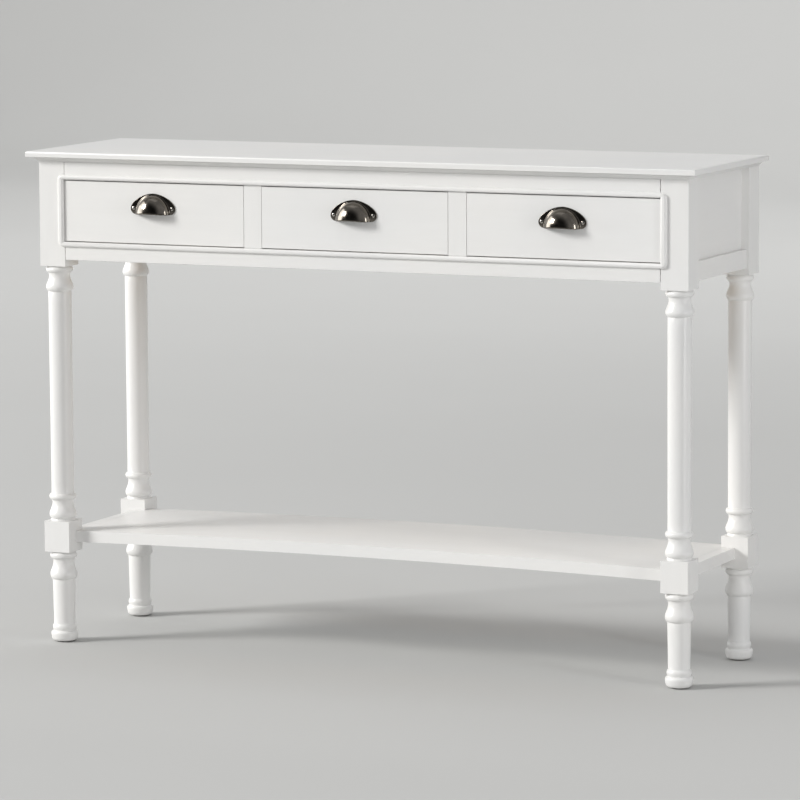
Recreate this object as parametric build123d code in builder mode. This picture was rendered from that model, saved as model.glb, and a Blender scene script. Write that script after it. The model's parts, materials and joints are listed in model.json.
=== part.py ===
from build123d import *
import os

# Console table with three inset drawers in a row, turned legs and a lower shelf.
# Millimetres. Z is up, the drawers face -Y, and the origin is on the floor at the
# middle of the table's overall width and depth.

os.makedirs("parts", exist_ok=True)

# ---------------------------------------------------------------- driving sizes
table_width = 1200
table_height = 837
overhang = 17              # top past the legs at the front and the ends
leg_side = 47              # square stock of the legs
leg_spacing_y = 277        # front to back, centre to centre
pull_projection = 22

top_thickness = 17.5
top_edge = 9.2             # upright part of the top's edge, above the cove
top_edge_round = 3
cove_step = 3              # flat between the upright edge and the cove
cove_radius = 20

rail_bottom = 654.5        # underside of the rails and of the back panel
opening_bottom = 685.3     # drawer openings
opening_top = 789.8
rail_thickness = 22
top_rail_depth = 45
divider_width = 32
tenon_length = 14
tenon_shoulder = 5
divider_tenon = 8
joint_gap = 1.2            # shadow line where the front rails meet the legs
joint_gap_depth = 4

bead_stile_width = 11      # upright strips of the bead
bead_rail_width = 8.5      # level strips of the bead
bead_height = 5
bead_corner = 9
bead_round = 4

side_panel_recess = 13.5
side_panel_thickness = 12
side_panel_tongue = 7
side_rail_recess = 4
side_rail_height = 31
back_recess = 4
back_thickness = 18
partition_thickness = 18

post_bottom = 643          # end of the square head of the leg
block_bottom = 156         # square block that carries the shelf
block_top = 208.5
rim_radius = 20.4          # shared radii of the turned collars
ring_radius = 23
quirk_radius = 18.9
neck_radius = 18.1
belly_radius = 23.2
head_collar = (641.5, 43.5)    # top and length of each collar
block_collar = (254.5, 44)
foot_collar = (154, 48)
column_top_radius = 19.7
column_bottom_radius = 19.2
shank_top_radius = 19.3
shank_bottom_radius = 18
ankle_top = 31
ankle_bottom = 20.5
ankle_radius = 20.3
foot_top = 19
foot_widest = 10
foot_radius = 22.5
sole_radius = 17.5

shelf_underside = 171.2    # at the shelf's ends
shelf_thickness = 19
shelf_rise = 6.5           # upward bow at mid-length
dowel_radius = 4
dowel_length = 40

drawer_gap = 1.6           # above and below each drawer front
drawer_side_gap = 0.8      # at its two ends
drawer_front_thickness = 18
drawer_side_thickness = 12
drawer_side_height = 80
drawer_bottom_thickness = 6
drawer_groove = 5
bottom_lift = 9            # drawer bottom above the lower edge of the drawer sides
drawer_box_back = 130      # rear face of the drawer boxes
runner_height = 18
runner_ledge = 25
runner_guide_rise = 16
running_gap = 0.5          # between the drawer boxes and the runners and stops
stop_width = 20
stop_height = 25

pull_width = 83
pull_height = 35
pull_rise = 16             # middle of the pull above the middle of the drawer front
pull_corner = 10           # height of the flange's upright ends, and radius of its lower corners
arch_knee = (0.6, 0.726)   # point on the flange's arch, as shares of its half width and its rise
cup_width = 63
cup_wall = 2
cup_rim_gap = 2.5          # flange left above the cup
flange_thickness = 2
pull_screw_spacing = 71
pull_screw_drop = 7.5      # screws below the middle of the pull
pull_screw = (1.75, 3.4, 15)   # shank radius, head radius, length
top_screw = (2.25, 4.5, 41)
glide_radius = 13
glide_thickness = 2
glide_pin_radius = 1.5
glide_pin_length = 14

# ---------------------------------------------------------------- derived places
half_leg = leg_side / 2
back_y = (leg_spacing_y + leg_side + pull_projection) / 2
face_y = back_y - leg_spacing_y - leg_side      # front face of legs, rails and drawers
top_front_y = face_y - overhang
top_underside = table_height - top_thickness
leg_x = table_width / 2 - overhang - half_leg
leg_in_x = leg_x - half_leg
leg_out_x = leg_x + half_leg
leg_y = {"front": face_y + half_leg, "back": back_y - half_leg}
inwards_y = {"front": 1, "back": -1}            # towards the middle of the table
leg_in_y = {end: leg_y[end] + inwards_y[end] * half_leg for end in leg_y}
sides = {"left": -1, "right": 1}

rail_back_y = face_y + rail_thickness
top_rail_back_y = face_y + top_rail_depth
back_panel_y = back_y - back_recess - back_thickness
side_panel_x = leg_out_x - side_panel_recess
side_rail_x = leg_out_x - side_rail_recess
side_rail_top = rail_bottom + side_rail_height

bay_width = (2 * leg_in_x - 2 * divider_width) / 3
bay_pitch = bay_width + divider_width
divider_x = bay_pitch / 2
bays = {"left": -bay_pitch, "middle": 0, "right": bay_pitch}
front_half = bay_width / 2 - drawer_side_gap
front_bottom = opening_bottom + drawer_gap
front_top = opening_top - drawer_gap
front_back_y = face_y + drawer_front_thickness
pull_z = (front_bottom + front_top) / 2 + pull_rise
dowel_z = shelf_underside + shelf_thickness / 2

# cross rails between the legs: (front y, back y, bottom, top)
top_rail = (face_y, top_rail_back_y, opening_top, top_underside)
bottom_rail = (face_y, rail_back_y, rail_bottom, opening_bottom)
back_rail = (back_panel_y, back_y - back_recess, rail_bottom, top_underside)

# screws through the front rail and the rear cleats into the top
cleat_y = back_panel_y - top_rail_depth / 2
top_screw_y = (rail_back_y + top_rail_back_y) / 2
top_screw_places = [(x, top_screw_y) for x in (-450, -150, 150, 450)]
top_screw_places += [(x + dx, (cleat_y + back_panel_y) / 2) for x in bays.values() for dx in (-100, 100)]


on_base = (Align.CENTER, Align.CENTER, Align.MIN)


def save(builder, name):
    """Label a finished piece and write it under its own name."""
    builder.part.label = name
    export_step(builder.part, f"parts/{name}.step")


def rising(a, b):
    """Two numbers, the lower one first."""
    return (a, b) if a < b else (b, a)


def block(xs, ys, zs, mode=Mode.ADD):
    """Box between two limits along each axis, added to or cut from the current piece."""
    limits = [rising(*pair) for pair in (xs, ys, zs)]
    with Locations(tuple((a + b) / 2 for a, b in limits)):
        Box(*[b - a for a, b in limits], mode=mode)


def screw(place, direction, sizes, mode=Mode.ADD):
    """Countersunk screw with its head flush at a place and its shank along a direction."""
    radius, head, length = sizes
    with Locations(Plane(origin=place, z_dir=direction)):
        Cone(head, radius, head - radius, align=on_base, mode=mode)
        Cylinder(radius, length, align=on_base, mode=mode)


def top_screws_at_places(mode=Mode.ADD):
    for x, y in top_screw_places:
        screw((x, y, opening_top), (0, 0, 1), top_screw, mode)


def cross_tenon(side, rail, mode):
    """Tenon on the end of a cross rail, or its mortise in the leg."""
    y0, y1, z0, z1 = rail
    cheeks = (y0 + tenon_shoulder, y1 - tenon_shoulder)
    edges = (z0 + tenon_shoulder, z1 - tenon_shoulder)
    block((side * leg_in_x, side * (leg_in_x + tenon_length)), cheeks, edges, mode)


def side_rail_tenon(side, end, mode):
    """Tenon on the end of a side rail, or its mortise in the leg."""
    start = leg_in_y[end]
    cheeks = (side * (side_rail_x - tenon_shoulder), side * (side_rail_x - rail_thickness + tenon_shoulder))
    edges = (rail_bottom + tenon_shoulder, side_rail_top - tenon_shoulder)
    block(cheeks, (start, start - inwards_y[end] * tenon_length), edges, mode)


def side_panel_body(side, mode):
    """Side panel with its tongues, or the grooves that hold it in the legs and the rail."""
    y0 = leg_in_y["front"] - side_panel_tongue
    y1 = leg_in_y["back"] + side_panel_tongue
    faces = (side * side_panel_x, side * (side_panel_x - side_panel_thickness))
    block(faces, (y0, y1), (side_rail_top - side_panel_tongue, top_underside), mode)


def divider_tenons(side, mode):
    """Short tenons above and below a drawer divider."""
    half = divider_width / 2 - tenon_shoulder
    xs = (side * divider_x - half, side * divider_x + half)
    ys = (face_y + tenon_shoulder, rail_back_y - tenon_shoulder)
    block(xs, ys, (opening_bottom - divider_tenon, opening_bottom), mode)
    block(xs, ys, (opening_top, opening_top + divider_tenon), mode)


def shelf_dowel(side, end, mode=Mode.ADD):
    """Dowel along X that joins a corner of the shelf to the block of its leg."""
    y = leg_y[end] + inwards_y[end] * half_leg / 2
    with Locations(Plane(origin=(side * leg_in_x, y, dowel_z), z_dir=(1, 0, 0))):
        Cylinder(dowel_radius, dowel_length, mode=mode)


# ---------------------------------------------------------------- top
with BuildPart() as top_panel:
    half_width = table_width / 2
    block((-half_width, half_width), (top_front_y, back_y), (top_underside, table_height))
    fillet(top_panel.edges().group_by(Axis.Z)[-1], top_edge_round)
    # hollow moulding under the front edge and both ends, meeting in mitres at the corners
    cove_top = top_thickness - top_edge
    for origin, inwards, along in [
        ((0, top_front_y, top_underside), (0, 1, 0), (1, 0, 0)),
        ((-half_width, 0, top_underside), (1, 0, 0), (0, -1, 0)),
        ((half_width, 0, top_underside), (-1, 0, 0), (0, 1, 0)),
    ]:
        with BuildSketch(Plane(origin=origin, x_dir=inwards, z_dir=along)):
            with BuildLine():
                Line((-1, 0), (overhang, 0))
                RadiusArc((overhang, 0), (cove_step, cove_top), -cove_radius)
                Line((cove_step, cove_top), (-1, cove_top))
                Line((-1, cove_top), (-1, 0))
            make_face()
        extrude(amount=table_width, both=True, mode=Mode.SUBTRACT)
    top_screws_at_places(Mode.SUBTRACT)
save(top_panel, "top_panel")


# ---------------------------------------------------------------- legs
def collar(top, length, next_radius):
    """Turned ring, cove, belly and quirk, drawn downwards to the radius that follows."""
    ring_end = top - 0.22 * length
    neck = top - 0.43 * length
    belly = top - 0.80 * length
    belly_end = top - 0.95 * length
    ThreePointArc((rim_radius, top), (ring_radius, (top + ring_end) / 2), (rim_radius, ring_end))
    Line((rim_radius, ring_end), (quirk_radius, ring_end))
    Spline(
        (quirk_radius, ring_end), (neck_radius, neck), (belly_radius, belly), (rim_radius, belly_end),
        tangents=[(-1, -3), (-1, -1)],
    )
    Line((rim_radius, belly_end), (quirk_radius, belly_end))
    Line((quirk_radius, belly_end), (next_radius, top - length))


def upper_turning():
    """Half outline between the square head and the shelf block, as (radius, height)."""
    top, length = head_collar
    low_top, low_length = block_collar
    Line((0, post_bottom), (rim_radius, post_bottom))
    Line((rim_radius, post_bottom), (rim_radius, top))
    collar(top, length, column_top_radius)
    Line((column_top_radius, top - length), (column_bottom_radius, low_top))
    Line((column_bottom_radius, low_top), (rim_radius, low_top))
    collar(low_top, low_length, rim_radius)
    Line((rim_radius, low_top - low_length), (rim_radius, block_top))
    Line((rim_radius, block_top), (0, block_top))
    Line((0, block_top), (0, post_bottom))


def lower_turning():
    """Half outline between the shelf block and the sole of the foot."""
    top, length = foot_collar
    Line((0, block_bottom), (rim_radius, block_bottom))
    Line((rim_radius, block_bottom), (rim_radius, top))
    collar(top, length, shank_top_radius)
    Line((shank_top_radius, top - length), (shank_bottom_radius, ankle_top))
    ankle_middle = (ankle_radius, (ankle_top + ankle_bottom) / 2)
    ThreePointArc((shank_bottom_radius, ankle_top), ankle_middle, (quirk_radius, ankle_bottom))
    Line((quirk_radius, ankle_bottom), (quirk_radius, foot_top))
    Spline(
        (quirk_radius, foot_top), (foot_radius, foot_widest), (sole_radius, glide_thickness),
        tangents=[(1, -0.1), (-1, -0.4)],
    )
    Line((sole_radius, glide_thickness), (0, glide_thickness))
    Line((0, glide_thickness), (0, block_bottom))


for side_name, side in sides.items():
    for end in leg_y:
        x, y = side * leg_x, leg_y[end]
        square = ((x - half_leg, x + half_leg), (y - half_leg, y + half_leg))
        with BuildPart() as leg:
            for outline in (upper_turning, lower_turning):
                with BuildSketch(Plane(origin=(x, y, 0), x_dir=(1, 0, 0), z_dir=(0, -1, 0))):
                    with BuildLine():
                        outline()
                    make_face()
                revolve(axis=Axis((x, y, 0), (0, 0, 1)))
            block(*square, (block_bottom, block_top))
            block(*square, (post_bottom, top_underside))
            for rail in [top_rail, bottom_rail] if end == "front" else [back_rail]:
                cross_tenon(side, rail, Mode.SUBTRACT)
            side_rail_tenon(side, end, Mode.SUBTRACT)
            side_panel_body(side, Mode.SUBTRACT)
            shelf_dowel(side, end, Mode.SUBTRACT)
            with BuildSketch(Plane((x, y, 0))):
                Circle(glide_pin_radius)
            extrude(amount=glide_pin_length, mode=Mode.SUBTRACT)
        save(leg, f"leg_{end}_{side_name}")

with BuildPart() as floor_glides:
    feet = [(side * leg_x, y) for side in sides.values() for y in leg_y.values()]
    with BuildSketch():
        with Locations(*feet):
            Circle(glide_radius)
    extrude(amount=glide_thickness)
    with BuildSketch():
        with Locations(*feet):
            Circle(glide_pin_radius)
    extrude(amount=glide_pin_length)
save(floor_glides, "floor_glides")

# ---------------------------------------------------------------- frame rails and dividers
for rail_name, rail in {"front_top_rail": top_rail, "front_bottom_rail": bottom_rail}.items():
    y0, y1, z0, z1 = rail
    with BuildPart() as cross_rail:
        block((-leg_in_x, leg_in_x), (y0, y1), (z0, z1))
        for side in sides.values():
            joint = (side * leg_in_x, side * (leg_in_x - joint_gap))
            block(joint, (face_y, face_y + joint_gap_depth), (z0, z1), Mode.SUBTRACT)
            cross_tenon(side, rail, Mode.ADD)
            divider_tenons(side, Mode.SUBTRACT)
        top_screws_at_places(Mode.SUBTRACT)
    save(cross_rail, rail_name)

for side_name, side in sides.items():
    with BuildPart() as divider:
        xs = (side * divider_x - divider_width / 2, side * divider_x + divider_width / 2)
        block(xs, (face_y, rail_back_y), (opening_bottom, opening_top))
        divider_tenons(side, Mode.ADD)
    save(divider, f"drawer_divider_{side_name}")

with BuildPart() as back_panel:
    y0, y1, z0, z1 = back_rail
    block((-leg_in_x, leg_in_x), (y0, y1), (z0, z1))
    for side in sides.values():
        cross_tenon(side, back_rail, Mode.ADD)
save(back_panel, "back_panel")

for side_name, side in sides.items():
    with BuildPart() as side_rail:
        faces = (side * side_rail_x, side * (side_rail_x - rail_thickness))
        block(faces, (leg_in_y["front"], leg_in_y["back"]), (rail_bottom, side_rail_top))
        for end in leg_y:
            side_rail_tenon(side, end, Mode.ADD)
        side_panel_body(side, Mode.SUBTRACT)
    save(side_rail, f"side_rail_{side_name}")
    with BuildPart() as side_panel:
        side_panel_body(side, Mode.ADD)
    save(side_panel, f"side_panel_{side_name}")

# ---------------------------------------------------------------- bead around the drawer row
opening_middle = (opening_bottom + opening_top) / 2
opening_half = (opening_top - opening_bottom) / 2
bead_half_x = leg_in_x + bead_stile_width
bead_half_z = opening_half + bead_rail_width
# each strip keeps the part of the frame inside its own mitre lines: (x, z) corners
mitre_run = opening_half * bead_stile_width / bead_rail_width
inner_x = leg_in_x - mitre_run
far_x = leg_in_x + mitre_run
far_z = 2 * opening_half
bead_mitres = {
    "top": [(-inner_x, 0), (inner_x, 0), (far_x, far_z), (-far_x, far_z)],
    "left": [(-inner_x, 0), (-far_x, far_z), (-far_x, -far_z)],
}
bead_mitres["bottom"] = [(x, -z) for x, z in bead_mitres["top"]]
bead_mitres["right"] = [(-x, z) for x, z in bead_mitres["left"]]
bead_plane = Plane(origin=(0, face_y, opening_middle), x_dir=(1, 0, 0), z_dir=(0, -1, 0))
for strip_name, mitre in bead_mitres.items():
    with BuildPart() as bead:
        with BuildSketch(bead_plane):
            RectangleRounded(2 * bead_half_x, 2 * bead_half_z, bead_corner)
            Rectangle(2 * leg_in_x, 2 * opening_half, mode=Mode.SUBTRACT)
        extrude(amount=bead_height)
        fillet(bead.faces().sort_by(Axis.Y)[0].edges(), bead_round)
        with BuildSketch(bead_plane):
            with BuildLine():
                Polyline(*mitre, close=True)
            make_face()
        extrude(amount=bead_height, mode=Mode.INTERSECT)
    save(bead, f"bead_{strip_name}")

# ---------------------------------------------------------------- drawer supports
for side_name, side in sides.items():
    with BuildPart() as partition:
        faces = (side * divider_x - partition_thickness / 2, side * divider_x + partition_thickness / 2)
        block(faces, (rail_back_y, back_panel_y), (rail_bottom, top_underside))
        block(faces, (rail_back_y, top_rail_back_y), (opening_top, top_underside), Mode.SUBTRACT)
    save(partition, f"partition_{side_name}")

runner_top = front_bottom - running_gap
guide_top = front_bottom + runner_guide_rise
inner_wall = divider_x - partition_thickness / 2
outer_wall = side_panel_x - side_panel_thickness
side_wall = divider_x + partition_thickness / 2
# (middle of the bay, direction from there to the runner, distance of the wall behind it)
runner_places = {
    "left_outer": (bays["left"], -1, outer_wall - bay_pitch),
    "left_inner": (bays["left"], 1, bay_pitch - side_wall),
    "middle_left": (bays["middle"], -1, inner_wall),
    "middle_right": (bays["middle"], 1, inner_wall),
    "right_inner": (bays["right"], -1, bay_pitch - side_wall),
    "right_outer": (bays["right"], 1, outer_wall - bay_pitch),
}
for runner_name, (bay_x, direction, wall) in runner_places.items():
    with BuildPart() as runner:
        box_side = bay_x + direction * (front_half + running_gap)
        ledge = (bay_x + direction * (front_half - runner_ledge), box_side)
        guide = (box_side, bay_x + direction * wall)
        between_legs = (leg_in_y["front"], leg_in_y["back"])
        guide_run = between_legs if "outer" in runner_name else (rail_back_y, back_panel_y)
        block(ledge, (rail_back_y, back_panel_y), (runner_top - runner_height, runner_top))
        block(guide, guide_run, (runner_top - runner_height, guide_top))
        # clearance round the side rail and the tongue of the side panel
        for side in sides.values():
            rail_faces = (side * side_rail_x, side * (side_rail_x - rail_thickness))
            block(rail_faces, between_legs, (rail_bottom, side_rail_top), Mode.SUBTRACT)
    save(runner, f"runner_{runner_name}")

with BuildPart() as drawer_stops:
    for bay_x in bays.values():
        for direction in (-1, 1):
            outer = bay_x + direction * (front_half - drawer_side_thickness)
            block(
                (outer, outer - direction * stop_width),
                (drawer_box_back + running_gap, back_panel_y),
                (guide_top, guide_top + stop_height),
            )
save(drawer_stops, "drawer_stops")

with BuildPart() as top_cleats:
    edges = [-leg_in_x, -side_wall, -inner_wall, inner_wall, side_wall, leg_in_x]
    for x0, x1 in zip(edges[0::2], edges[1::2]):
        block((x0, x1), (cleat_y, back_panel_y), (opening_top, top_underside))
    top_screws_at_places(Mode.SUBTRACT)
save(top_cleats, "top_cleats")

with BuildPart() as top_screws:
    top_screws_at_places()
save(top_screws, "top_screws")

# ---------------------------------------------------------------- shelf
with BuildPart() as shelf:
    shelf_top = shelf_underside + shelf_thickness
    with BuildSketch(Plane(origin=(0, leg_y["front"], 0), x_dir=(1, 0, 0), z_dir=(0, -1, 0))):
        with BuildLine():
            ThreePointArc((-leg_x, shelf_underside), (0, shelf_underside + shelf_rise), (leg_x, shelf_underside))
            Line((leg_x, shelf_underside), (leg_x, shelf_top))
            ThreePointArc((leg_x, shelf_top), (0, shelf_top + shelf_rise), (-leg_x, shelf_top))
            Line((-leg_x, shelf_top), (-leg_x, shelf_underside))
        make_face()
    extrude(amount=-leg_spacing_y)
    for side in sides.values():
        for end in leg_y:
            notch_x = (side * leg_in_x, side * leg_out_x)
            notch_y = (leg_y[end] - half_leg, leg_y[end] + half_leg)
            block(notch_x, notch_y, (block_bottom, block_top), Mode.SUBTRACT)
            shelf_dowel(side, end, Mode.SUBTRACT)
save(shelf, "shelf")

with BuildPart() as shelf_dowels:
    for side in sides.values():
        for end in leg_y:
            shelf_dowel(side, end)
save(shelf_dowels, "shelf_dowels")

# ---------------------------------------------------------------- drawers
cup_half = cup_width / 2
cup_height = pull_height - cup_rim_gap
pull_bottom = pull_z - pull_height / 2
panel_z = front_bottom + bottom_lift
side_depth = (front_back_y - drawer_groove, drawer_box_back)
back_depth = (drawer_box_back - drawer_side_thickness, drawer_box_back)


def drawer_sides(bay_x, direction, mode=Mode.ADD):
    """One side of a drawer box, or the dado that takes its end in the drawer front."""
    xs = (bay_x + direction * front_half, bay_x + direction * (front_half - drawer_side_thickness))
    block(xs, side_depth, (front_bottom, front_bottom + drawer_side_height), mode)


def drawer_panel(bay_x, mode=Mode.ADD):
    """Drawer bottom, or the groove that holds it in the front and the sides."""
    half = front_half - drawer_side_thickness + drawer_groove
    ys = (front_back_y - drawer_groove, drawer_box_back)
    block((bay_x - half, bay_x + half), ys, (panel_z, panel_z + drawer_bottom_thickness), mode)


def pull_screws_at(bay_x, mode=Mode.ADD):
    for dx in (-pull_screw_spacing / 2, pull_screw_spacing / 2):
        place = (bay_x + dx, face_y - flange_thickness, pull_z - pull_screw_drop)
        screw(place, (0, 1, 0), pull_screw, mode)


def flange_arch():
    """Upper edge of a pull's flange, flatter than half an ellipse towards its ends."""
    half = pull_width / 2
    knee_x = arch_knee[0] * half
    knee_z = pull_corner + arch_knee[1] * (pull_height - pull_corner)
    Spline(
        (half, pull_corner), (knee_x, knee_z), (0, pull_height), (-knee_x, knee_z), (-half, pull_corner),
        tangents=[(0, 1), (0, -1)],
    )


def quarter_dome(half_width, projection, height, bay_x, mode=Mode.ADD):
    """Quarter of an ellipsoid that stands on the pull's lower edge, in front of the drawer."""
    dome = scale(Sphere(1, mode=Mode.PRIVATE), by=(half_width, projection, height), mode=Mode.PRIVATE)
    add(dome.moved(Location((bay_x, face_y, pull_bottom))), mode=mode)


for bay_name, bay_x in bays.items():
    with BuildPart() as drawer_front:
        block((bay_x - front_half, bay_x + front_half), (face_y, front_back_y), (front_bottom, front_top))
        for direction in (-1, 1):
            drawer_sides(bay_x, direction, Mode.SUBTRACT)
        drawer_panel(bay_x, Mode.SUBTRACT)
        pull_screws_at(bay_x, Mode.SUBTRACT)
    save(drawer_front, f"drawer_{bay_name}_front")

    for side_name, side in sides.items():
        with BuildPart() as drawer_side:
            drawer_sides(bay_x, side)
            drawer_panel(bay_x, Mode.SUBTRACT)
        save(drawer_side, f"drawer_{bay_name}_side_{side_name}")

    with BuildPart() as drawer_back:
        half = front_half - drawer_side_thickness
        top = front_bottom + drawer_side_height
        block((bay_x - half, bay_x + half), back_depth, (panel_z + drawer_bottom_thickness, top))
    save(drawer_back, f"drawer_{bay_name}_back")

    with BuildPart() as drawer_bottom:
        drawer_panel(bay_x)
    save(drawer_bottom, f"drawer_{bay_name}_bottom")

    # half-moon cup pull: a flat flange with an open-bottomed dome in front of it
    with BuildPart() as pull:
        with BuildSketch(Plane(origin=(bay_x, face_y, pull_bottom), x_dir=(1, 0, 0), z_dir=(0, -1, 0))):
            with BuildLine():
                flange_arch()
                half = pull_width / 2
                Polyline((-half, pull_corner), (-half, 0), (half, 0), (half, pull_corner))
            make_face()
        extrude(amount=flange_thickness)
        low_edges = pull.edges().filter_by(Axis.Y).group_by(Axis.Z)[0]
        fillet(low_edges, pull_corner - 0.2)
        quarter_dome(cup_half, pull_projection, cup_height, bay_x)
        hollow = (cup_half - cup_wall, pull_projection - cup_wall, cup_height - cup_wall)
        quarter_dome(*hollow, bay_x, Mode.SUBTRACT)
        split(bisect_by=Plane(origin=(0, face_y, 0), z_dir=(0, -1, 0)), keep=Keep.TOP)
        split(bisect_by=Plane(origin=(0, 0, pull_bottom), z_dir=(0, 0, 1)), keep=Keep.TOP)
        pull_screws_at(bay_x, Mode.SUBTRACT)
    save(pull, f"drawer_{bay_name}_pull")

    with BuildPart() as pull_screws:
        pull_screws_at(bay_x)
    save(pull_screws, f"drawer_{bay_name}_pull_screws")
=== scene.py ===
import json
import math

import bpy
import bmesh
from mathutils import Matrix, Vector


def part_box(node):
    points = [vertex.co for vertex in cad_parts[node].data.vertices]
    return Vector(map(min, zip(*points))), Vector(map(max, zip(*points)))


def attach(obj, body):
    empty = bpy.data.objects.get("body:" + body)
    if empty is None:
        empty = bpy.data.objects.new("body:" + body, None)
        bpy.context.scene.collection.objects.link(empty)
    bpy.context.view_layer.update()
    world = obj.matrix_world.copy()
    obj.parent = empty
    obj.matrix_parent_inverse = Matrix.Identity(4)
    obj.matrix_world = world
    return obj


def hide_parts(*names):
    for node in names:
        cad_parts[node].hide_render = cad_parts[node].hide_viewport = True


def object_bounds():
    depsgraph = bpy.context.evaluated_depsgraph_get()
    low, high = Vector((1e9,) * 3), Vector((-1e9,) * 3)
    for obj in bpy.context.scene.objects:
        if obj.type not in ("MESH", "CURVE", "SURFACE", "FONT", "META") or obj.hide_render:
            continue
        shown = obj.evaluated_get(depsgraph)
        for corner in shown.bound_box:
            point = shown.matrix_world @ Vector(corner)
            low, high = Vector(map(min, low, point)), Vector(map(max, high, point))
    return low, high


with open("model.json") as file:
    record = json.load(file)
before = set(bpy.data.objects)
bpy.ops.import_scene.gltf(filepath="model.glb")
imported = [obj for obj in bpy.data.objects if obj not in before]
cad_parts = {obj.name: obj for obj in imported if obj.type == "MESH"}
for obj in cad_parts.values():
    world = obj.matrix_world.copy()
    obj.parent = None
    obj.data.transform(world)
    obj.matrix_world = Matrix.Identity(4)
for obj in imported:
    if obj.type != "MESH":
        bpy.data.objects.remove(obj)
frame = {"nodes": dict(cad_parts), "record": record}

cad_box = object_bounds()
nodes = frame["nodes"]
slot_of = {entry["node"]: entry["material_slot"] for entry in frame["record"]["subparts"]}
low, high = Vector(cad_box[0]), Vector(cad_box[1])

# ------------------------------------------------------------------ colours
paint_cool = (0.79, 0.79, 0.785, 1.0)
paint_warm = (0.83, 0.82, 0.80, 1.0)
paint_grain = (0.76, 0.75, 0.735, 1.0)
pine_light = (0.72, 0.56, 0.36, 1.0)
pine_dark = (0.56, 0.38, 0.20, 1.0)
nickel_dark = (0.13, 0.118, 0.103, 1.0)
nickel_warm = (0.20, 0.18, 0.155, 1.0)
screw_dark = (0.42, 0.40, 0.37, 1.0)
screw_warm = (0.55, 0.52, 0.48, 1.0)
zinc_blue = (0.55, 0.56, 0.58, 1.0)
zinc_yellow = (0.68, 0.66, 0.60, 1.0)
nylon_dark = (0.10, 0.095, 0.09, 1.0)
nylon_light = (0.15, 0.14, 0.13, 1.0)
floor_cool = (0.52, 0.52, 0.51, 1.0)
floor_warm = (0.55, 0.55, 0.54, 1.0)
# painted shade: near-black colour of the floor well in front of the table
floor_shade_paint = (0.03, 0.03, 0.03, 1.0)
key_colour = (1.0, 0.995, 0.98)
room_colour = (0.98, 0.985, 1.0, 1.0)


# ------------------------------------------------------------------ material helpers
class Graph:
    """A node material: short calls that add a node, set its inputs and link it."""

    def __init__(self, name):
        self.material = bpy.data.materials.new(name)
        self.material.use_nodes = True
        self.tree = self.material.node_tree
        self.shader = self.tree.nodes["Principled BSDF"]
        # object coordinates: metres in the row frame, the same for every piece
        self.place = self.add("ShaderNodeTexCoord").outputs["Object"]

    def add(self, kind, inputs=None, **settings):
        node = self.tree.nodes.new(kind)
        for key, value in settings.items():
            setattr(node, key, value)
        for key, value in (inputs or {}).items():
            self.set(node.inputs[key], value)
        return node

    def set(self, socket, value):
        if isinstance(value, bpy.types.NodeSocket):
            self.tree.links.new(value, socket)
        else:
            socket.default_value = value

    def shade(self, inputs):
        """Sets or links inputs of the material's own shader."""
        for key, value in inputs.items():
            self.set(self.shader.inputs[key], value)

    def noise(self, scale, detail, roughness, stretch=None):
        vector = self.place
        if stretch:
            mapping = self.add("ShaderNodeMapping", {"Vector": vector, "Scale": stretch})
            vector = mapping.outputs["Vector"]
        inputs = {"Vector": vector, "Scale": scale, "Detail": detail, "Roughness": roughness}
        return self.add("ShaderNodeTexNoise", inputs).outputs["Fac"]

    def remap(self, value, source, target):
        """Maps the span source, a low and a high value, onto the span target."""
        inputs = {
            "Value": value,
            "From Min": source[0],
            "From Max": source[1],
            "To Min": target[0],
            "To Max": target[1],
        }
        return self.add("ShaderNodeMapRange", inputs).outputs["Result"]

    def math(self, operation, a, b):
        return self.add("ShaderNodeMath", {0: a, 1: b}, operation=operation).outputs["Value"]

    def mix(self, factor, a, b):
        node = self.add("ShaderNodeMix", data_type="RGBA")
        self.set(node.inputs[0], factor)
        self.set(node.inputs[6], a)
        self.set(node.inputs[7], b)
        return node.outputs[2]

    def bump(self, height, strength, distance, normal=None):
        inputs = {"Height": height, "Strength": strength, "Distance": distance}
        if normal:
            inputs["Normal"] = normal
        return self.add("ShaderNodeBump", inputs).outputs["Normal"]


def drawn_out(along, across_scale, along_scale):
    """Noise stretch that is coarse across one axis and long along it."""
    stretch = [across_scale] * 3
    stretch["XYZ".index(along)] = along_scale
    return stretch


# ------------------------------------------------------------------ materials
whole = (0.0, 1.0)
middle_band = (0.3, 0.7)     # most of a noise's values lie in this span
upper_band = (0.35, 0.7)


def brushed_paint(name, along):
    """Satin warm-white paint over wood, with brush marks and faint grain along one axis."""
    g = Graph(name)
    brush = g.noise(60.0, 4.0, 0.6, stretch=drawn_out(along, 9.0, 0.35))
    grain = g.noise(22.0, 5.0, 0.65, stretch=drawn_out(along, 2.2, 0.25))
    peel = g.noise(520.0, 2.0, 0.5)
    cloud = g.noise(4.0, 3.0, 0.5)
    warm = g.mix(g.remap(cloud, middle_band, whole), paint_cool, paint_warm)
    streaked = g.mix(g.remap(grain, (0.35, 0.75), (0.0, 0.35)), warm, paint_grain)
    brush_rough = g.remap(brush, (0.2, 0.8), (0.30, 0.42))
    cloud_rough = g.remap(cloud, middle_band, (-0.03, 0.03))
    surface = g.bump(grain, 0.25, 0.0004)
    surface = g.bump(brush, 0.18, 0.0002, surface)
    surface = g.bump(peel, 0.08, 0.0001, surface)
    g.shade({
        "Base Color": streaked,
        "Roughness": g.math("ADD", brush_rough, cloud_rough),
        "Normal": surface,
        "IOR": 1.5,
        "Coat Weight": 0.12,
        "Coat Roughness": 0.25,
    })
    return g.material


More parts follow.
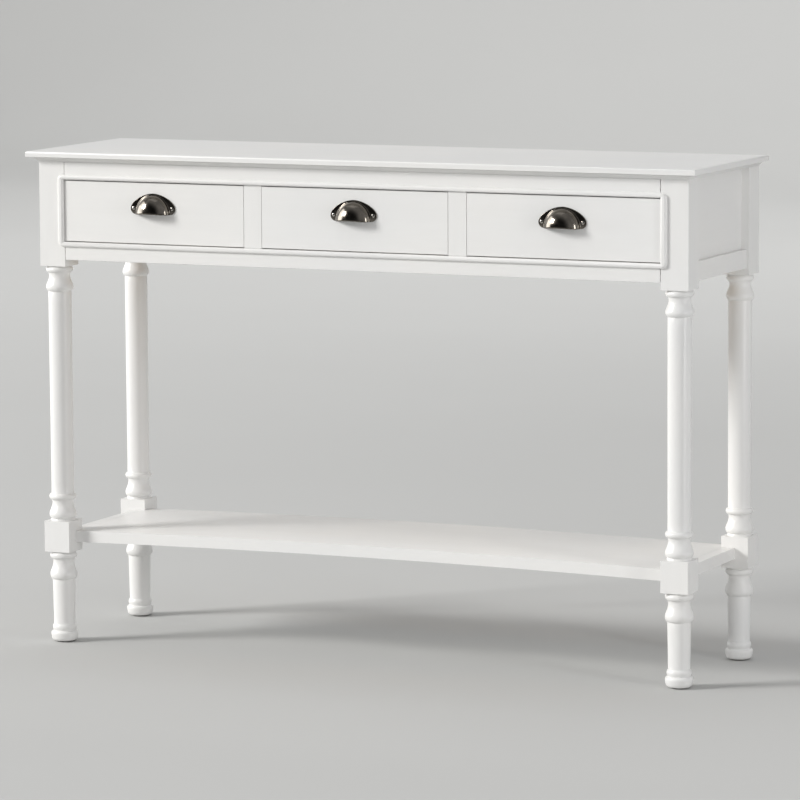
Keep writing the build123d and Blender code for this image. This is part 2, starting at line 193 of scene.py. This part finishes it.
def bare_timber(name, along, sheen):
    """Pale softwood with rings drawn out along one axis, and pores; sheen is its roughness span."""
    g = Graph(name)
    warp = g.noise(3.0, 4.0, 0.55, stretch=drawn_out(along, 7.0, 0.45))
    rings = g.math("FRACT", g.math("MULTIPLY", warp, 9.0), 0.0)
    rings = g.math("PINGPONG", g.math("MULTIPLY", rings, 2.0), 1.0)
    pores = g.noise(12.0, 3.0, 0.6, stretch=drawn_out(along, 60.0, 1.5))
    tone = g.mix(g.remap(rings, whole, (0.1, 0.75)), pine_light, pine_dark)
    tone = g.mix(g.remap(pores, (0.45, 0.7), (0.0, 0.35)), tone, pine_dark)
    surface = g.bump(rings, 0.10, 0.0003)
    surface = g.bump(pores, 0.20, 0.0002, surface)
    g.shade({
        "Base Color": tone,
        "Roughness": g.remap(pores, middle_band, sheen),
        "Normal": surface,
    })
    return g.material


def polished_nickel(name, tone_low, tone_high):
    """Polished nickel, slightly uneven, lighter and duller where hands rub it."""
    g = Graph(name)
    smudge = g.noise(90.0, 4.0, 0.6)
    lines = g.noise(900.0, 2.0, 0.5, stretch=[0.15, 1.0, 1.0])
    smudge_rough = g.remap(smudge, middle_band, (0.08, 0.18))
    line_rough = g.remap(lines, middle_band, (-0.02, 0.03))
    surface = g.bump(smudge, 0.10, 0.0004)
    surface = g.bump(lines, 0.05, 0.00005, surface)
    g.shade({
        "Base Color": g.mix(g.remap(smudge, upper_band, whole), tone_low, tone_high),
        "Metallic": 1.0,
        "Roughness": g.math("ADD", smudge_rough, line_rough),
        "Normal": surface,
    })
    return g.material


def zinc_steel(name):
    """Zinc-plated screw steel with faint bluish clouding."""
    g = Graph(name)
    cloud = g.noise(220.0, 3.0, 0.5)
    g.shade({
        "Base Color": g.mix(g.remap(cloud, upper_band, whole), zinc_blue, zinc_yellow),
        "Metallic": 1.0,
        "Roughness": g.remap(cloud, middle_band, (0.25, 0.40)),
        "Normal": g.bump(cloud, 0.10, 0.0002),
    })
    return g.material


def moulded_nylon(name):
    """Matte brown-grey nylon with a fine moulded grain."""
    g = Graph(name)
    grain = g.noise(1400.0, 3.0, 0.6)
    cloud = g.noise(60.0, 2.0, 0.5)
    g.shade({
        "Base Color": g.mix(g.remap(cloud, middle_band, whole), nylon_dark, nylon_light),
        "Roughness": g.remap(grain, middle_band, (0.5, 0.7)),
        "Normal": g.bump(grain, 0.25, 0.0001),
    })
    return g.material


sanded_sheen = (0.35, 0.5)
raw_sheen = (0.55, 0.75)
paint = {axis: brushed_paint(f"white_paint_{axis.lower()}", axis) for axis in "XYZ"}
drawer_wood, bare_wood = (
    {axis: bare_timber(f"{slot}_{axis.lower()}", axis, sheen) for axis in "XY"}
    for slot, sheen in (("drawer_wood", sanded_sheen), ("bare_wood", raw_sheen))
)
nickel = polished_nickel("dark_nickel", nickel_dark, nickel_warm)
screw_nickel = polished_nickel("screw_nickel", screw_dark, screw_warm)
zinc = zinc_steel("zinc_steel")
nylon = moulded_nylon("glide_nylon")


def long_axis(name):
    """The axis along which a node is longest."""
    a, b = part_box(name)
    size = [b[i] - a[i] for i in range(3)]
    return "XYZ"[size.index(max(size))]


def material_for(name):
    """Material of a CAD node, from its slot and the way its grain runs."""
    axis = long_axis(name)
    table = {
        "white_paint": paint[axis],
        "drawer_wood": drawer_wood.get(axis, drawer_wood["X"]),
        "bare_wood": bare_wood.get(axis, bare_wood["X"]),
        "dark_metal": nickel,
        "steel_screws": zinc,
        "glide_plastic": nylon,
    }
    return table[slot_of[name]]


def give_material(obj, material):
    """Puts a material on an object's own slots, and leaves its mesh data alone."""
    if not obj.material_slots:
        obj.data.materials.append(None)
    for entry in obj.material_slots:
        entry.link = "OBJECT"
        entry.material = material


# ------------------------------------------------------------------ CAD nodes
edge_round = {"white_paint": 0.0009, "drawer_wood": 0.0008, "bare_wood": 0.0006}
weld_distance = 0.00001
bevel_angle = math.radians(40)
for name, obj in nodes.items():
    give_material(obj, material_for(name))
    round_by = edge_round.get(slot_of[name])
    if round_by:
        weld = obj.modifiers.new("join_faces", "WELD")
        weld.merge_threshold = weld_distance
        bevel = obj.modifiers.new("eased_edges", "BEVEL")
        bevel.width = round_by
        bevel.segments = 2
        bevel.limit_method = "ANGLE"
        bevel.angle_limit = bevel_angle
        bevel.harden_normals = False


# ------------------------------------------------------------------ mesh helpers
sharp_angle = math.radians(50)
quarter = math.pi / 2


def place_object(name, mesh):
    """Puts a mesh with smooth faces in the scene."""
    for polygon in mesh.polygons:
        polygon.use_smooth = True
    obj = bpy.data.objects.new(name, mesh)
    bpy.context.scene.collection.objects.link(obj)
    return obj


def metal_object(name, built, material):
    """Turns the built mesh into an object of one metal, smooth up to its sharp edges."""
    mesh = bpy.data.meshes.new(name)
    bmesh.ops.recalc_face_normals(built, faces=built.faces)
    built.to_mesh(mesh)
    built.free()
    piece = place_object(name, mesh)
    mesh.set_sharp_from_angle(angle=sharp_angle)
    give_material(piece, material)
    return piece


# ------------------------------------------------------------------ cup pulls
cup_half = 0.0315
cup_height = 0.0325
cup_wall = 0.0016
lip_raise = 0.0022           # the lip of the cup rises this much towards its middle
lip_steps = 6
cup_columns, cup_rows = 56, 20
flange_thickness = 0.002
flange_shoulder = 0.010      # height of the flange's upright ends
flange_flat = 0.0002         # the upright part of each end, above its rounded corner
flange_power = 1.7           # fullness of the flange's arch, 2 would be an ellipse
flange_heart = 0.45          # the eased edge shrinks towards this share of the height
flange_ease = 0.0007
corner_steps, arch_steps, ease_steps = 10, 48, 4
cove = 0.0013                # radius of the cove between cup and flange
cove_sunk = 0.00003          # the cove reaches this far into the flange
cove_steps = 5


def superellipse(share, power):
    return (1 - min(1.0, abs(share)) ** power) ** (1 / power)


def flange_outline(half_width, height):
    """Outline of the flange seen from the front, anticlockwise from its lower right corner."""
    corner = flange_shoulder - flange_flat
    turns = [quarter * i / corner_steps for i in range(corner_steps + 1)]
    corners = []
    for side in (1, -1):
        centre = side * (half_width - corner)
        corners.append([
            (centre + side * corner * math.sin(turn), corner - corner * math.cos(turn))
            for turn in turns
        ])
    arch = []
    for i in range(1, arch_steps):
        x = half_width * math.cos(math.pi * i / arch_steps)
        rise = (height - flange_shoulder) * superellipse(x / half_width, flange_power)
        arch.append((x, flange_shoulder + rise))
    return corners[0] + arch + corners[1][::-1]


def add_flange(built, half_width, height):
    """Closed plate against the drawer front, with its front edge eased."""
    outline = flange_outline(half_width, height)
    heart = Vector((0, height * flange_heart))
    levels = [(0.0, 0.0), (flange_thickness - flange_ease, 0.0)]
    for i in range(1, ease_steps + 1):
        turn = quarter * i / ease_steps
        levels.append((
            flange_thickness - flange_ease + flange_ease * math.sin(turn),
            flange_ease * (1 - math.cos(turn)),
        ))
    rings = []
    for out, inset in levels:
        ring = []
        for x, z in outline:
            toward = (heart - Vector((x, z))).normalized() * inset
            ring.append(built.verts.new((x + toward.x, -out, z + toward.y)))
        rings.append(ring)
    for lower, upper in zip(rings, rings[1:]):
        for i, vert in enumerate(lower):
            j = (i + 1) % len(lower)
            built.faces.new([vert, lower[j], upper[j], upper[i]])
    built.faces.new(rings[-1])
    built.faces.new(list(reversed(rings[0])))


def cup_point(inset, across, around, depth):
    """Point on the cup: across runs between its two ends, around from the lip to the flange."""
    reach = math.sin(across)
    x = (cup_half - inset) * math.cos(across)
    y = -(depth - inset) * reach * math.cos(around)
    rise = (cup_height - inset) * reach * math.sin(around)
    lift = lip_raise * (reach * math.cos(around)) ** 2 * (1 - math.sin(around))
    return x, y, rise + lift


def cup_strip(across, depth):
    """Section of the cup: down its outside, round its lip and up its inside."""
    outer = [
        cup_point(0.0, across, quarter * (1 - row / cup_rows), depth)
        for row in range(cup_rows + 1)
    ]
    inner = [
        cup_point(cup_wall, across, quarter * row / cup_rows, depth)
        for row in range(cup_rows + 1)
    ]
    outer_lip, inner_lip = outer[-1], inner[0]
    lip = []
    for i in range(1, lip_steps):
        turn = math.pi * i / lip_steps
        share = (1 - math.cos(turn)) / 2
        x, y, z = (near + (far - near) * share for near, far in zip(outer_lip, inner_lip))
        drop = min(cup_wall / 2, max(0.0, outer_lip[2])) * math.sin(turn)
        lip.append((x, y, z - drop))
    return outer + lip + inner


def add_cup(built, depth):
    """Thin half-cup that opens downwards, with a rounded lip."""
    grid = []
    for column in range(1, cup_columns):
        strip = cup_strip(math.pi * column / cup_columns, depth)
        grid.append([built.verts.new(point) for point in strip])
    for left, right in zip(grid, grid[1:]):
        for i in range(len(left) - 1):
            built.faces.new([left[i], left[i + 1], right[i + 1], right[i]])
    # close the two narrow ends of the cup
    for strip, side in ((grid[0], 1), (grid[-1], -1)):
        tip = built.verts.new((side * cup_half, 0, 0))
        for i in range(len(strip) - 1):
            pair = [strip[i + 1], strip[i]] if side > 0 else [strip[i], strip[i + 1]]
            built.faces.new([tip] + pair)


def add_cove(built):
    """Small cove where the cup leaves the flange."""
    rows = []
    for column in range(1, cup_columns):
        across = math.pi * column / cup_columns
        slope = Vector((math.cos(across) / cup_half, math.sin(across) / cup_height))
        outward = slope.normalized()
        base = Vector((cup_half * math.cos(across), cup_height * math.sin(across)))
        row = []
        for i in range(cove_steps + 1):
            turn = quarter * i / cove_steps
            spread = base + outward * cove * (1 - math.sin(turn))
            depth = -flange_thickness - cove * (1 - math.cos(turn)) + cove_sunk
            row.append(built.verts.new((spread.x, depth, spread.y)))
        rows.append(row)
    for left, right in zip(rows, rows[1:]):
        for i in range(cove_steps):
            built.faces.new([left[i], right[i], right[i + 1], left[i + 1]])


def build_pull(name):
    """Cast cup pull that stands for a CAD pull."""
    a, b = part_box(name)
    half_width, depth, height = (b[0] - a[0]) / 2, b[1] - a[1], b[2] - a[2]
    built = bmesh.new()
    add_flange(built, half_width, height)
    add_cup(built, depth)
    add_cove(built)
    centre = Vector(((a[0] + b[0]) / 2, b[1], a[2]))
    bmesh.ops.translate(built, verts=built.verts, vec=centre)
    return metal_object(name + "_cast", built, nickel)


# ------------------------------------------------------------------ screws of the pulls
head_radius = 0.0030
head_dome = 0.0009
head_lift = 0.0001           # the dome stands this far off the pull
head_rim = 0.0003
head_depth = 0.0017          # where the head's cone meets the shank
head_steps = 8
shank_radius = 0.00175
shank_sides = 28
point_length = 0.003
point_radius = 0.0004
point_flat = 0.0002
screw_inset = 0.0034         # from the end of the pair's box to a screw's centre


def screw_outline(length):
    """Radius and depth along a screw, from beside the tip of its dome to its point."""
    outline = []
    for i in range(1, head_steps + 1):
        turn = quarter * i / head_steps
        outline.append((head_radius * math.sin(turn), -head_dome * math.cos(turn) - head_lift))
    return outline + [
        (head_radius, head_rim),
        (shank_radius, head_depth),
        (shank_radius, length - point_length),
        (point_radius, length - point_flat),
    ]


def add_screw(built, centre, length):
    """One oval-head screw, turned about Y."""
    outline = screw_outline(length)
    tip = built.verts.new(centre + Vector((0, -head_dome - head_lift, 0)))
    end = built.verts.new(centre + Vector((0, length, 0)))
    rings = []
    for k in range(shank_sides):
        turn = 2 * math.pi * k / shank_sides
        rings.append([
            built.verts.new(centre + Vector((r * math.cos(turn), y, r * math.sin(turn))))
            for r, y in outline
        ])
    for this, following in zip(rings, rings[1:] + rings[:1]):
        built.faces.new([tip, following[0], this[0]])
        for i in range(len(outline) - 1):
            built.faces.new([this[i], following[i], following[i + 1], this[i + 1]])
        built.faces.new([this[-1], following[-1], end])


def build_screws(name):
    """Two turned screws that stand for a CAD screw pair."""
    a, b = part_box(name)
    built = bmesh.new()
    for x in (a[0] + screw_inset, b[0] - screw_inset):
        add_screw(built, Vector((x, a[1], (a[2] + b[2]) / 2)), b[1] - a[1])
    return metal_object(name + "_turned", built, screw_nickel)


metal_pieces = bpy.data.collections.new("metal_pieces")
for bay in ("left", "middle", "right"):
    for suffix, build in (("pull", build_pull), ("pull_screws", build_screws)):
        node = f"drawer_{bay}_{suffix}"
        piece = build(node)
        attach(piece, f"drawer_{bay}")
        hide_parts(node)
        metal_pieces.objects.link(piece)

# ------------------------------------------------------------------ stage, light and camera
floor_margin = 14.0
backdrop_start = 9.0         # the floor starts to curve up this far behind the table
backdrop_bend = 3.5
backdrop_top = 8.0
bend_steps = 18
# painted shade on the floor: strongest at the first Y, gone by the second
shade_from, shade_to = -5.0, -1.9


def make_floor():
    """Pale floor that curves up into a backdrop far behind the table, with painted shade well in
    front of it.
    """
    profile = [(-floor_margin, 0.0), (backdrop_start, 0.0)]
    for i in range(1, bend_steps + 1):
        turn = math.radians(90 * i / bend_steps)
        profile.append((
            backdrop_start + backdrop_bend * math.sin(turn),
            backdrop_bend * (1 - math.cos(turn)),
        ))
    profile.append((backdrop_start + backdrop_bend, backdrop_top))
    built = bmesh.new()
    left, right = (
        [built.verts.new((x, y, z)) for y, z in profile] for x in (-floor_margin, floor_margin)
    )
    for i in range(len(profile) - 1):
        built.faces.new([left[i], right[i], right[i + 1], left[i + 1]])
    mesh = bpy.data.meshes.new("floor")
    built.to_mesh(mesh)
    built.free()
    floor = place_object("floor", mesh)
    g = Graph("floor_paper")
    pale = g.mix(g.noise(0.8, 2.0, 0.5), floor_cool, floor_warm)
    # painted shade: the floor turns nearly black well in front of the table, a dark sheet standing
    # in for a dim room, where polished metal would mirror it
    forward = g.add("ShaderNodeSeparateXYZ", {"Vector": g.place}).outputs["Y"]
    painted_shade_share = g.remap(forward, (shade_from, shade_to), (0.92, 0.0))
    g.shade({
        "Base Color": g.mix(painted_shade_share, pale, floor_shade_paint),
        "Roughness": 0.9,
        "Specular IOR Level": 0.1,
    })
    mesh.materials.append(g.material)


def add_area_light(name, place, target, size, power, colour=(1.0, 1.0, 1.0), mirrored=True):
    """Rectangular soft light at place that looks at target; polished metal may mirror it."""
    data = bpy.data.lights.new(name, "AREA")
    data.shape = "RECTANGLE"
    data.size, data.size_y = size
    data.energy = power
    data.color = colour
    light = bpy.data.objects.new(name, data)
    light.location = place
    light.rotation_euler = (Vector(target) - Vector(place)).to_track_quat("-Z", "Y").to_euler()
    light.visible_glossy = mirrored
    bpy.context.scene.collection.objects.link(light)
    return light


make_floor()
middle = (low + high) / 2


def out_from_middle(way, distance):
    """Point at a distance from the table's middle."""
    return middle + Vector(way).normalized() * distance


key_place = out_from_middle((-1.50, -1.06, 0.82), 16.0)
window_place = out_from_middle((-0.96, -0.03, 0.19), 6.0)
side_place = out_from_middle((0.94, -0.33, 0.10), 3.5)
fill_place = out_from_middle((0.55, -1.0, 0.20), 6.0)
card_place = out_from_middle((-0.94, -0.10, 0.34), 5.0)
wash_place, wash_target = (-1.5, 7.0, 5.0), (-1.5, 9.5, 0.0)
overhead_place = (-0.45, 0.25, 3.4)

add_area_light("key", key_place, middle, (4.4, 4.4), 2340, key_colour)
add_area_light("left_window", window_place, middle, (5.4, 2.8), 80)
add_area_light("side_strip", side_place, middle, (0.35, 1.6), 22)
add_area_light("overhead", overhead_place, middle, (3.0, 2.2), 10)
add_area_light("backdrop_wash", wash_place, wash_target, (9.0, 5.0), 230)
add_area_light("front_fill", fill_place, middle, (3.0, 3.0), 33, mirrored=False)
# a card that only the pulls and their screws mirror
card = add_area_light("left_card", card_place, middle, (5.2, 3.6), 260)
card.visible_diffuse = False
card.light_linking.receiver_collection = metal_pieces

world = bpy.data.worlds.new("studio")
world.use_nodes = True
tree = world.node_tree
background = tree.nodes["Background"]
background.inputs["Color"].default_value = room_colour
# the room is dim in front of the table, where polished metal would mirror it
dim_way = Vector((-0.36, -0.93, 0.05)).normalized()
way = tree.nodes.new("ShaderNodeTexCoord")
facing = tree.nodes.new("ShaderNodeVectorMath")
facing.operation = "DOT_PRODUCT"
facing.inputs[1].default_value = dim_way
tree.links.new(way.outputs["Generated"], facing.inputs[0])
dimming = tree.nodes.new("ShaderNodeMapRange")
dimming.interpolation_type = "SMOOTHSTEP"
spans = {"From Min": 0.50, "From Max": 0.90, "To Min": 0.50, "To Max": 0.03}
for key, value in spans.items():
    dimming.inputs[key].default_value = value
tree.links.new(facing.outputs["Value"], dimming.inputs["Value"])
tree.links.new(dimming.outputs["Result"], background.inputs["Strength"])
bpy.context.scene.world = world

# the viewpoint stands in front of the right-hand end, a little above the top
camera_place = Vector((3.2049, -7.0318, 1.3984))
camera_turn = math.radians(24.420)
camera_tilt = math.radians(7.182)
camera_roll = math.radians(-0.326)
focal_pixels, photo_pixels = 4667.6, 800
sensor_width = 36.0
camera_data = bpy.data.cameras.new("camera")
camera_data.sensor_width = sensor_width
camera_data.lens = focal_pixels / photo_pixels * sensor_width
camera_data.clip_end = 100.0
camera = bpy.data.objects.new("camera", camera_data)
forward = Vector((
    -math.sin(camera_turn) * math.cos(camera_tilt),
    math.cos(camera_turn) * math.cos(camera_tilt),
    -math.sin(camera_tilt),
))
sideways = Vector((math.cos(camera_turn), math.sin(camera_turn), 0.0))
upward = sideways.cross(forward)
across = math.cos(camera_roll) * sideways + math.sin(camera_roll) * upward
over = math.cos(camera_roll) * upward - math.sin(camera_roll) * sideways
axes = Matrix((across, over, -forward)).transposed()
camera.matrix_world = Matrix.Translation(camera_place) @ axes.to_4x4()
bpy.context.scene.collection.objects.link(camera)
bpy.context.scene.camera = camera
bpy.context.scene.view_settings.view_transform = "Standard"
